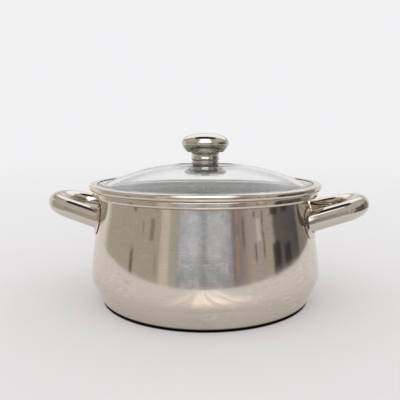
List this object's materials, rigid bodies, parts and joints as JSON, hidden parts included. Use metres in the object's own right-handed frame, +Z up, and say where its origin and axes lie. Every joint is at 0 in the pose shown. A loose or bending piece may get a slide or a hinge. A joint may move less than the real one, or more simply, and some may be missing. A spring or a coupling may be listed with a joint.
{
  "type": "saucepan with glass lid",
  "caption": "Belly-shaped polished steel cooking pot with two tubular loop handles and a domed glass lid with a steel band and round knob.",
  "frame": {"origin": "centre of the foot's underside, on the surface the pot stands on", "axes": "+X along the line through the two handles, +Z up through the knob, +Y completes a right-handed frame"},
  "size_m": [0.3096, 0.22, 0.1578],
  "materials": {
    "shell_steel": "mirror-polished stainless steel with fine use scratches",
    "base_steel": "satin stainless steel base cap with fine turned lines",
    "spreader_aluminium": "plain pressed aluminium",
    "handle_steel": "polished stainless steel tube",
    "saddle_steel": "pressed and polished stainless steel sheet",
    "lid_glass": "clear tempered glass with a faint green edge",
    "band_steel": "rolled and polished stainless steel band",
    "knob_steel": "pressed and polished stainless steel",
    "hardware_steel": "plain zinc-bright steel",
    "silicone": "grey translucent silicone"
  },
  "bodies": {
    "pot": {"pot_shell": "shell_steel", "heat_spreader": "spreader_aluminium", "base_cap": "base_steel", "handle_tube_right": "handle_steel", "saddle_right_front": "saddle_steel", "saddle_right_back": "saddle_steel", "handle_tube_left": "handle_steel", "saddle_left_front": "saddle_steel", "saddle_left_back": "saddle_steel"},
    "lid": {"lid_glass": "lid_glass", "lid_band": "band_steel", "upper_gasket": "silicone", "lower_gasket": "silicone", "hole_sleeve": "silicone"},
    "knob": {"knob_collar": "knob_steel", "knob_waist": "knob_steel", "knob_head": "knob_steel", "knob_core": "hardware_steel", "backing_plate": "hardware_steel", "spring_washer": "hardware_steel", "knob_screw": "hardware_steel"}
  },
  "joints": [
    {"name": "lid_lift", "type": "slide", "parent": "pot", "child": "lid", "axis": [0, 0, 1], "range_m": [0, 0.15]},
    {"name": "knob_turn", "type": "hinge", "parent": "lid", "child": "knob", "pos_m": [0, 0, 0.127], "axis": [0, 0, 1], "continuous": true}
  ]
}
